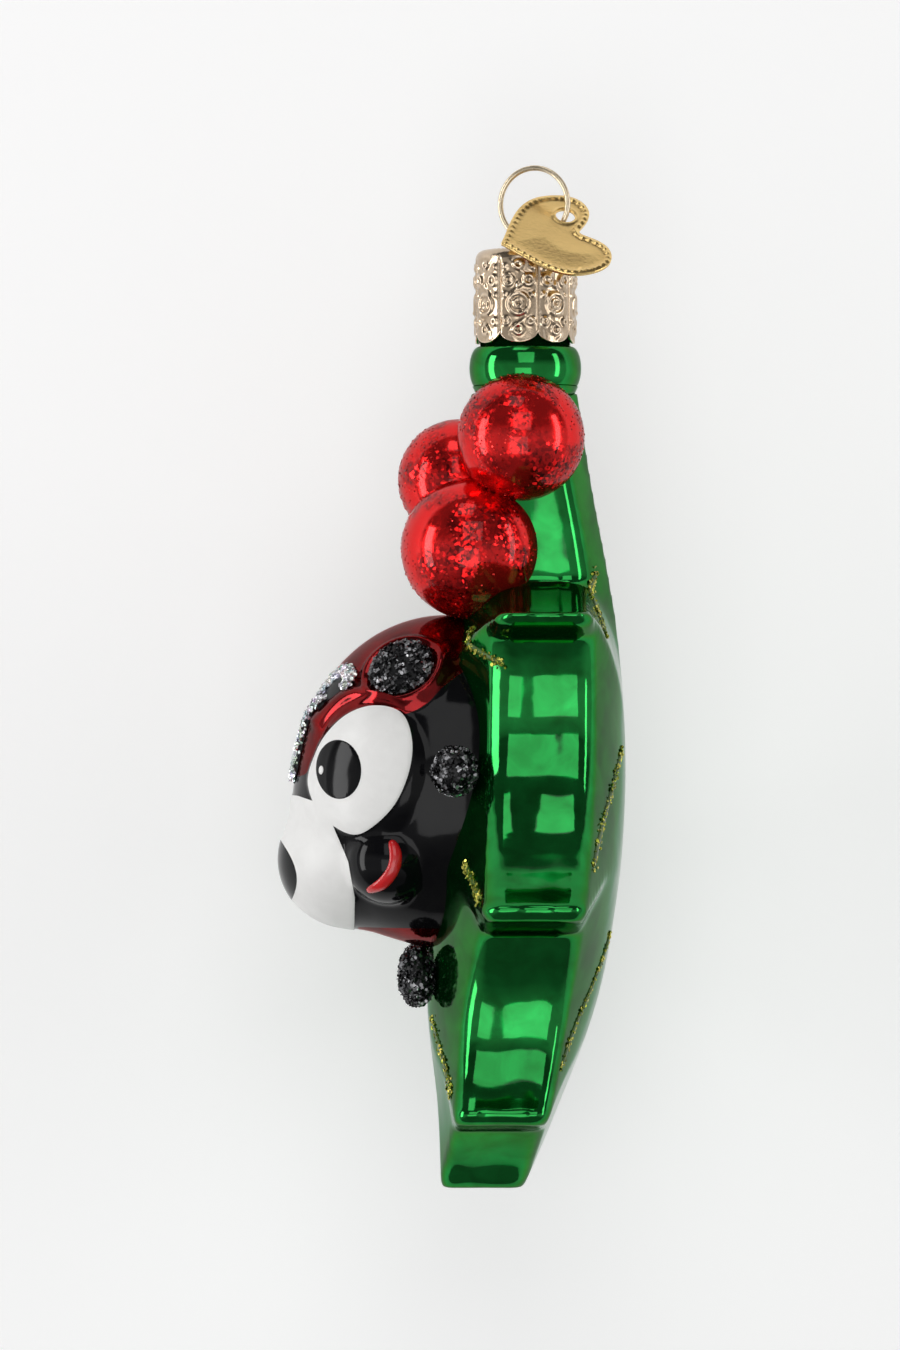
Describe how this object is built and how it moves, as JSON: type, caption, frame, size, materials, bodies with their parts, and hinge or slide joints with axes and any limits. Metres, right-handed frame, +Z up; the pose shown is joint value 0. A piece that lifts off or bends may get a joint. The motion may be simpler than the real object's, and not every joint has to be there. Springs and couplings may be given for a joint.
{
  "type": "hanging ornament",
  "caption": "Blown glass Christmas ornament: a ladybug on a holly leaf with berries, hung by a metal cap, a wire loop and a heart tag.",
  "frame": {"origin": "inside of the wire loop at its top, where a hook carries the ornament", "axes": "+Z up, -Y the way the ladybug looks, +X its left hand seen from the front"},
  "size_m": [0.064, 0.0413, 0.1174],
  "materials": {
    "green_glass": "silvered glass under clear green lacquer, mirror bright",
    "red_glass": "silvered glass under clear deep red lacquer, mirror bright",
    "berry_glass": "silvered glass under red lacquer dusted with fine red glitter",
    "black_enamel": "gloss black enamel on glass",
    "white_enamel": "pearly white enamel on glass",
    "red_enamel": "gloss red enamel on glass",
    "black_glitter": "black glitter set in glue",
    "silver_glitter": "silver glitter along a black line",
    "green_glitter": "yellow green glitter set in glue",
    "cap_metal": "thin stamped metal, champagne gold plate, embossed all over",
    "wire_metal": "spring wire, champagne gold plate",
    "tag_metal": "thin stamped metal, bright gold plate, beaded rim"
  },
  "bodies": {
    "cap_and_hanger": {"hanger_loop": "wire_metal", "cap": "cap_metal"},
    "tag": {"heart_tag": "tag_metal"},
    "glass_figure": {"glass_neck": "green_glass", "holly_leaf": "green_glass", "berry_lower": "berry_glass", "berry_upper_right": "berry_glass", "berry_upper_left": "berry_glass", "wing_case_left": "red_glass", "wing_case_right": "red_glass", "belly": "red_glass", "head": "black_enamel", "nose": "black_enamel", "pupil_left": "black_enamel", "pupil_right": "black_enamel", "muzzle": "white_enamel", "eye_white_left": "white_enamel", "eye_white_right": "white_enamel", "smile_left": "red_enamel", "smile_right": "red_enamel", "wing_spot_left": "black_glitter", "wing_spot_right": "black_glitter", "hand_left": "black_glitter", "hand_right": "black_glitter", "foot_left": "black_glitter", "foot_right": "black_glitter", "antenna_left": "silver_glitter", "antenna_right": "silver_glitter", "vein_front_upper_left": "green_glitter", "vein_front_upper_right": "green_glitter", "vein_front_middle_left": "green_glitter", "vein_front_middle_right": "green_glitter", "vein_front_lower_left": "green_glitter", "vein_front_lower_right": "green_glitter", "vein_back_upper_left": "green_glitter", "vein_back_upper_right": "green_glitter", "vein_back_middle_left": "green_glitter", "vein_back_middle_right": "green_glitter", "vein_back_lower_left": "green_glitter", "vein_back_lower_right": "green_glitter"}
  },
  "joints": [
    {"name": "tag_swing", "type": "hinge", "parent": "cap_and_hanger", "child": "tag", "pos_m": [0.00145, 0.00359, -0.00541], "axis": [0.1736, -0.9848, 0], "range_deg": [0, 75]},
    {"name": "figure_pull", "type": "slide", "parent": "cap_and_hanger", "child": "glass_figure", "axis": [0, 0, -1], "range_m": [0, 0.025]}
  ]
}
